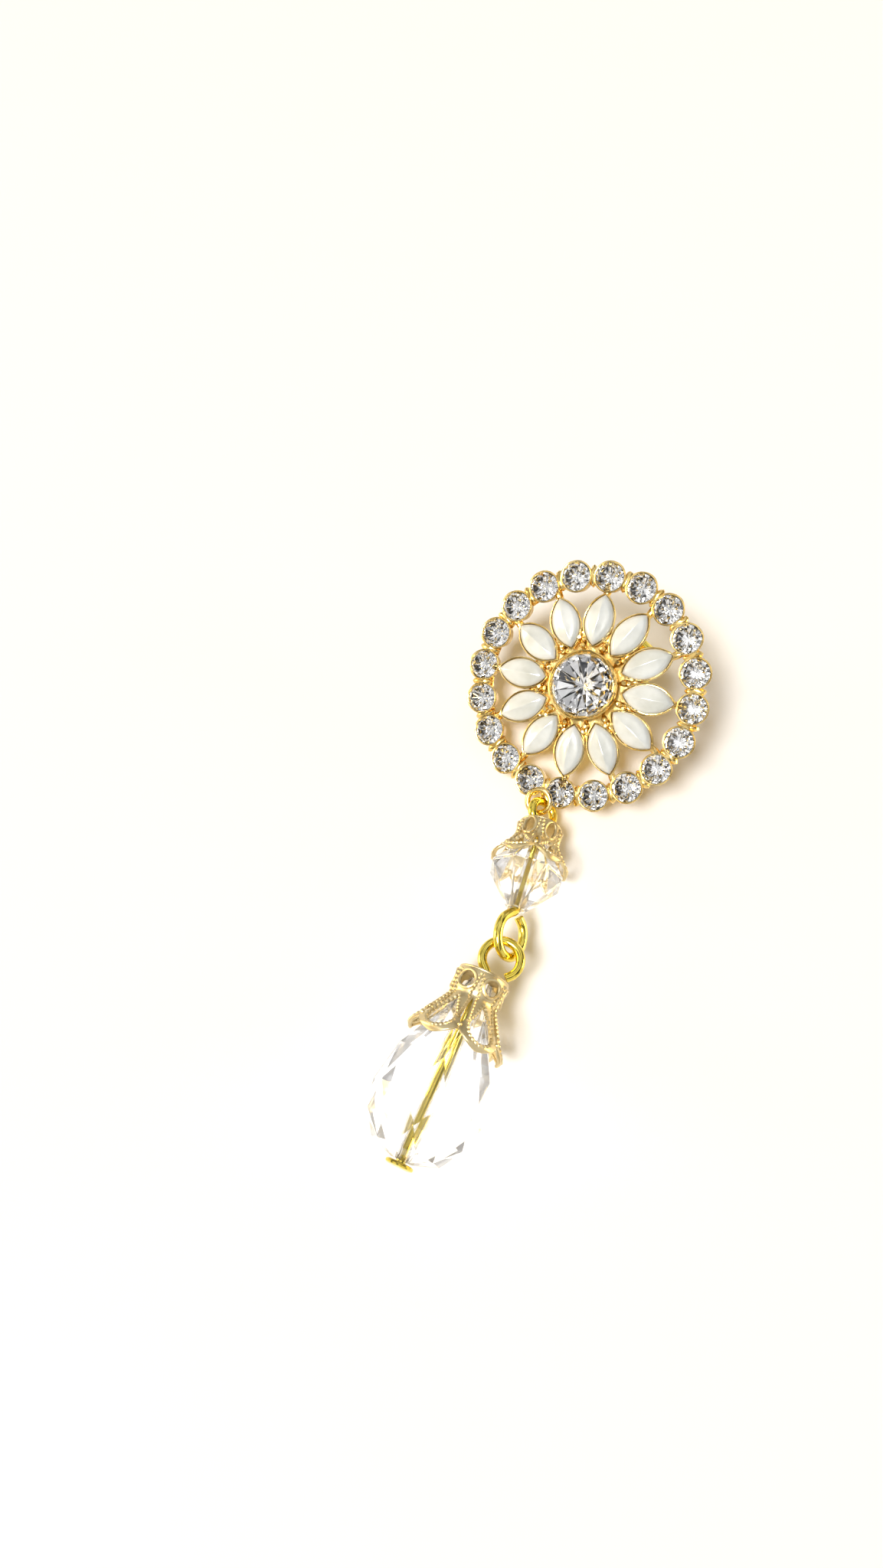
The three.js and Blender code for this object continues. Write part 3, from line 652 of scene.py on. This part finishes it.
def pierced_cap(name, cap, place, node):
    """A cap turned, pierced through and notched in its own frame, then set on its drop and trimmed."""
    length, at, tips = cap["length"], cap["waist_at"], cap["tips"]
    spread, tip_pitch = length - at, pi * tips / cap_petals
    profile = cap_outline(cap)

    def radius_at(depth):
        for a, b in zip(profile, profile[1:]):
            if a.y <= depth <= b.y:
                return a.x + (b.x - a.x) * (depth - a.y) / (b.y - a.y)
        return profile[0].x if depth < profile[0].y else profile[-1].x

    crown = cap["crown"] / 2
    outer = [(cap_hole / 2, 0), (crown - cap_shoulder, 0), (crown - 0.4 * cap_shoulder, -0.04)]
    outer += [(p.x, -p.y) for p in profile]
    inner = [(p.x - cap_wall, -p.y) for p in profile[::-1] if p.y > cap_wall + 0.1]
    inner += [(crown - cap_wall - 0.1, -cap_wall), (cap_hole / 2, -cap_wall)]
    body = lathed((outer + inner)[::-1], 90, True)

    def cutter(outline, turn):
        flat = [[Vector((x, y, -d)) for x, d in outline] for y in (cutter_start, tips / 2 + 1)]
        return moved(skinned(flat[::-1]), Matrix.Rotation(turn, 4, "Z"))

    half, top = 0.26 * tip_pitch, at + 0.1 * spread
    fall = length - cap_notch / 2 - top
    marks = [(0, 0), (0.48, 0.3), (1, 0.62), (0.84, 0.88), (0, 1), (-0.84, 0.88), (-1, 0.62),
             (-0.48, 0.3), (0, 0)]
    marks = [Vector((x * half, top + y * fall, 0)) for x, y in marks]
    piercing = [(p.x, p.y) for p in smooth_path(marks, 5)[:-1]]
    wide, tall = cap["window"]
    turns = [2 * pi * i / 28 for i in range(28)]
    window = [(wide / 2 * cos(a), at / 2 + tall / 2 * sin(a)) for a in turns]
    slit = [(0, at), (-0.6 * cap_slit, at + 0.2 * spread), (-cap_slit, at + 0.5 * spread),
            (0, at + 0.66 * spread), (cap_slit, at + 0.5 * spread), (0.6 * cap_slit, at + 0.2 * spread)]

    def lobe(share):
        """Depth of the hem from the bottom of one notch, at 0, to the tips beside it, at -1 and 1."""
        return length - cap_notch * (1 - abs(share)) ** 1.7

    shares = [i / 12 - 1 for i in range(25)]
    scallop = [(tips / 2 * sin(s * pi / 6), lobe(s)) for s in shares]
    notch = scallop + [(tips / 2, length + 1), (-tips / 2, length + 1)]
    places = [((i + 0.5) * pi / 3, (i + 1) * pi / 3) for i in range(cap_petals)]
    families = [[cutter(outline, turn) for on_petal, between in places
                 for outline, turn in ((window, on_petal), (slit, between))],
                [cutter(piercing, on_petal) for on_petal, between in places],
                [cutter(notch, between) for on_petal, between in places]]
    as_drawn = Matrix.Identity(4)
    shell = formed(name, body, as_drawn)
    for cutters in families:
        tool = formed("opening", joined(cutters), as_drawn)
        opening = shell.modifiers.new("opening", "BOOLEAN")
        opening.operation, opening.solver, opening.use_self = "DIFFERENCE", "EXACT", True
        opening.object = tool
        settle(shell)
        bpy.data.objects.remove(tool)
    eased(shell, 0.06, 50)
    shell.data.transform(place)
    dressed(shell, pale_gold, 40, "earring", [node])

    def on_wall(x, depth, turn, lift=0.0):
        """Point of the outer wall where a cut drawn across and down meets it."""
        r = radius_at(depth) + lift
        return Matrix.Rotation(turn, 3, "Z") @ Vector((x, sqrt(max(r * r - x * x, 0.01)), -depth))

    def out_from_axis(point):
        return Vector((point.x, point.y, 0.0)).normalized()

    def grown(outline, by):
        """Closed outline moved outward by a fixed amount."""
        ring = list(zip(outline[-1:] + outline[:-1], outline, outline[1:] + outline[:1]))
        area = sum(ax * d - x * ad for (ax, ad), (x, d), after in ring)
        outward = by if area > 0 else -by
        found = []
        for (ax, ad), (x, d), (bx, bd) in ring:
            run = hypot(bx - ax, bd - ad) or 1.0
            found.append((x + outward * (bd - ad) / run, d - outward * (bx - ax) / run))
        return found

    def even(points, pitch, loop=True):
        """The same path with points pitch apart."""
        path = points + points[:1] if loop else points
        whole = sum((b - a).length for a, b in zip(path, path[1:]))
        count = max(int(round(whole / pitch)), 4)
        found, walked, i = [], 0.0, 0
        for n in range(count + (0 if loop else 1)):
            want = whole * n / count
            while i < len(path) - 2 and walked + (path[i + 1] - path[i]).length < want:
                walked += (path[i + 1] - path[i]).length
                i += 1
            run = (path[i + 1] - path[i]).length or 1.0
            found.append(path[i].lerp(path[i + 1], min((want - walked) / run, 1.0)))
        return found

    def beaded(points, size, pitch, loop=True):
        """Milled beading: a wire that swells once every pitch."""
        def radii(way):
            return size * (0.55 + 0.45 * abs(cos(pi * way / pitch)))

        return swept(even(points, pitch / 6, loop), radii, 6, loop, out_from_axis)

    trim = []
    for on_petal, between in places:
        line = [on_wall(x, d, on_petal, -0.12) for x, d in grown(piercing, 0.1)]
        trim.append(beaded(line, 0.23, 0.44))
        line = [on_wall(x, d, on_petal) for x, d in grown(window, 0.1)]
        trim.append(swept(even(line, 0.16), 0.17, 8, True, out_from_axis))
        for side in (-1, 1):
            rail = [(side * (0.11 + 0.06 * k), cap_shoulder + 0.12 + (at - cap_shoulder) * k / 5)
                    for k in range(6)]
            line = [on_wall(x, d, between) for x, d in rail]
            trim.append(beaded(line, 0.19, 0.42, False))
            border = [(side * (0.5 * cap_slit + 0.12 + 0.035 * k), at + (0.04 + 0.5 * k / 7) * spread)
                      for k in range(8)]
            line = [on_wall(x, d, between) for x, d in border]
            trim.append(beaded(line, 0.18, 0.40, False))
        stud = Matrix.Translation(on_wall(0, lobe(0) - 0.24, between))
        trim.append(moved(ball(0.24, (0, 0, 0), 8, 10), stud))
    hem = []
    for on_petal, between in places:
        for s in shares[:-1]:
            angle = between + s * pi / 6 + pi / 2
            depth = lobe(s) - 0.06
            r = radius_at(depth) - 0.22
            hem.append(Vector((r * cos(angle), r * sin(angle), -depth)))
    trim.append(swept(hem, 0.16, 10, True, out_from_axis))
    lip = circle(crown - 0.5 * cap_shoulder, -0.09, 72)
    trim.append(swept(lip, 0.13, 8, True, out_from_axis))
    piece(name + "_trim", joined(trim), place, pale_gold, sharp=0)


pierced_cap("small_cap_shell", small_cap, upper_drop, "small_cap")
pierced_cap("large_cap_shell", large_cap, lower_drop, "large_cap")

# Beads: machine-cut clear crystal glass, drilled through and polished. The bicone has eight
# facets to each cone; the teardrop has long facets above and rhombic ones below.
clear_glass = Finish("clear_crystal_glass")
body_glass = clear_glass.node("ShaderNodeBsdfPrincipled", inputs={
    "Base Color": (0.88, 0.885, 0.90, 1), "Roughness": 0.0, "IOR": 1.53, "Transmission Weight": 1.0})
lamp_ray = clear_glass.node("ShaderNodeLightPath", out="Is Shadow Ray")
let_through = clear_glass.node("ShaderNodeBsdfTransparent", inputs={"Color": (0.96, 0.96, 0.965, 1)})
clear_glass.show(clear_glass.node("ShaderNodeMixShader", inputs={
    0: lamp_ray * 0.88 + 0.12, 1: body_glass, 2: let_through}))


def drilled(rings, hole):
    """Cut bead: rings from the lowest up, each of the same count, with a bore along the axis."""
    count = len(rings[0])
    points = [p for ring in rings for p in ring]
    faces = []
    for i in range(len(rings) - 1):
        shift = i % 2
        for j in range(count):
            k = (j + 1) % count
            a, b = i * count + j, i * count + k
            c, d = (i + 1) * count + k, (i + 1) * count + j
            faces += [[a, b, c], [a, c, d]] if not shift else [[a, b, d], [b, c, d]]
    start, top = len(points), (len(rings) - 1) * count
    for p in rings[0] + rings[-1]:
        narrow = hole / 2 / hypot(p.x, p.y)
        points.append(Vector((narrow * p.x, narrow * p.y, p.z)))
    for j in range(count):
        k = (j + 1) % count
        faces += [[start + j, start + k, k, j],
                  [top + j, top + k, start + count + k, start + count + j],
                  [start + k, start + j, start + count + j, start + count + k]]
    return points, faces


bicone_rings = [circle(r / 2, z - bicone_rise, bicone_sides, 0.5) for r, z in (
    (bicone_end, -bicone_length), (bicone_width, -bicone_length / 2 - 0.12),
    (bicone_width, -bicone_length / 2 + 0.12), (bicone_end, 0))]
piece("bicone_crystal", drilled(bicone_rings, bead_hole), upper_drop, clear_glass, sharp=0,
      bevel=0.05, stands_for=["bicone_bead"])

tear_rows = [(0.2, 1, 0.5), (0.62, 0.95, 0), (0.9, 0.84, 0.5), (1, 0.69, 0), (0.87, 0.47, 0.5),
             (0.41, 0.2, 0), (0.21, 0, 0.5)]  # share of width, share of length, turn
tear_rings = [circle(share * drop_width / 2, -crown_rise - down_share * drop_length, drop_sides, turn)
              for share, down_share, turn in tear_rows]
piece("teardrop_crystal", drilled(tear_rings, bead_hole), lower_drop, clear_glass, sharp=0,
      bevel=0.05, stands_for=["teardrop_bead"])

# Head pin: the same wire with a flat head upset on its lower end, threaded up through the
# teardrop and its cap and closed in a round loop on the eye pin.
head_disc, head_thickness = 2.8, 0.45
head_foot = -(crown_rise + drop_length)
head_path = wire_loop(1.865, 1, 0.25, 0.82, 0, 0, 1, -54, 212) + neck
head_path += down(-5 * wire, head_foot - fit - 0.5 * head_thickness)
disc_top, disc_bottom = head_foot - fit, head_foot - fit - head_thickness
disc = lathed([(0, disc_bottom), (head_disc / 2 - 0.3, disc_bottom),
               (head_disc / 2 - 0.08, disc_bottom + 0.08), (head_disc / 2, disc_bottom + 0.22),
               (head_disc / 2 - 0.06, disc_top - 0.07),
               (head_disc / 2 - 0.2, disc_top), (0, disc_top)], 40)
pin = swept(smooth_path(head_path, 8), wire_shown / 2)
piece("head_pin_wire", joined([pin, disc]), lower_drop, lemon_gold,
      stands_for=["head_pin"])

# Table and studio: a plain pale table top, a broad soft light high over it, a panel above, and
# two small warm lamps low at the sides.
floor_finish = Finish("pale_table")
paper = floor_finish.grain(60, 3)
off_white, near_white = (0.945, 0.94, 0.925), (0.955, 0.95, 0.94)
floor_finish.surface(Base_Color=floor_finish.blend(paper, off_white, near_white), Roughness=0.6)
floor_mesh, reach = bpy.data.meshes.new("table"), 2  # metres
square = [(-reach, -reach, 0), (reach, -reach, 0), (reach, reach, 0), (-reach, reach, 0)]
floor_mesh.from_pydata(square, [], [[0, 1, 2, 3]])
floor = bpy.data.objects.new("table", floor_mesh)
bpy.context.collection.objects.link(floor)
floor_mesh.materials.append(floor_finish.material)


def lit(name, kind, place, power, tint):
    """A lamp at place, aimed at the earring."""
    lamp = bpy.data.lights.new(name, kind)
    lamp.energy, lamp.color = power, tint
    box = bpy.data.objects.new(name, lamp)
    bpy.context.collection.objects.link(box)
    box.location = place
    box.rotation_euler = (Vector((0, 0, 0.004)) - Vector(place)).to_track_quat("-Z", "Y").to_euler()
    return lamp


neutral, warm = (1.0, 1.0, 1.0), (1.0, 0.72, 0.30)
lit("broad_light", "SUN", (-0.07, -0.135, 0.31), 2.95, neutral).angle = radians(17)
lit("top_panel", "AREA", (0.03, 0.04, 0.36), 0.09, neutral).size = 0.3
lit("low_left", "AREA", (-0.30, -0.06, 0.06), 0.56, warm).size = 0.1
lit("low_right", "AREA", (0.28, 0.10, 0.05), 0.56, warm).size = 0.1

# The room itself: metal and glass mirror bright and dark boards, the table gets only a little warm
# light from the walls, and behind the table stands a plain pale backdrop.
world = bpy.data.worlds.new("studio")
bpy.context.scene.world = world
room = Finish("studio", world)
way = room.node("ShaderNodeTexCoord", out="Generated")
flags = room.node("ShaderNodeTexNoise", inputs={
    "Vector": way, "Scale": 2.3, "Detail": 1.0, "Roughness": 0.4})
black_card, white_card = (0.04, 0.043, 0.05), (1.0, 0.99, 0.97)
boards = room.node("ShaderNodeBackground", inputs={
    "Color": room.blend(room.ramp(flags, 0.42, 0.58), black_card, white_card), "Strength": 0.95})
walls = room.node("ShaderNodeBackground", inputs={"Color": (1.0, 0.82, 0.56, 1), "Strength": 0.10})
backdrop = room.node("ShaderNodeBackground", inputs={"Color": (1.0, 0.985, 0.97, 1), "Strength": 0.9})
to_table = room.node("ShaderNodeLightPath", out="Is Diffuse Ray")
to_camera = room.node("ShaderNodeLightPath", out="Is Camera Ray")
seen = room.node("ShaderNodeMixShader", inputs={0: to_table, 1: boards, 2: walls})
seen = room.node("ShaderNodeMixShader", inputs={0: to_camera, 1: seen, 2: backdrop})
room.node("ShaderNodeOutputWorld", inputs={"Surface": seen})
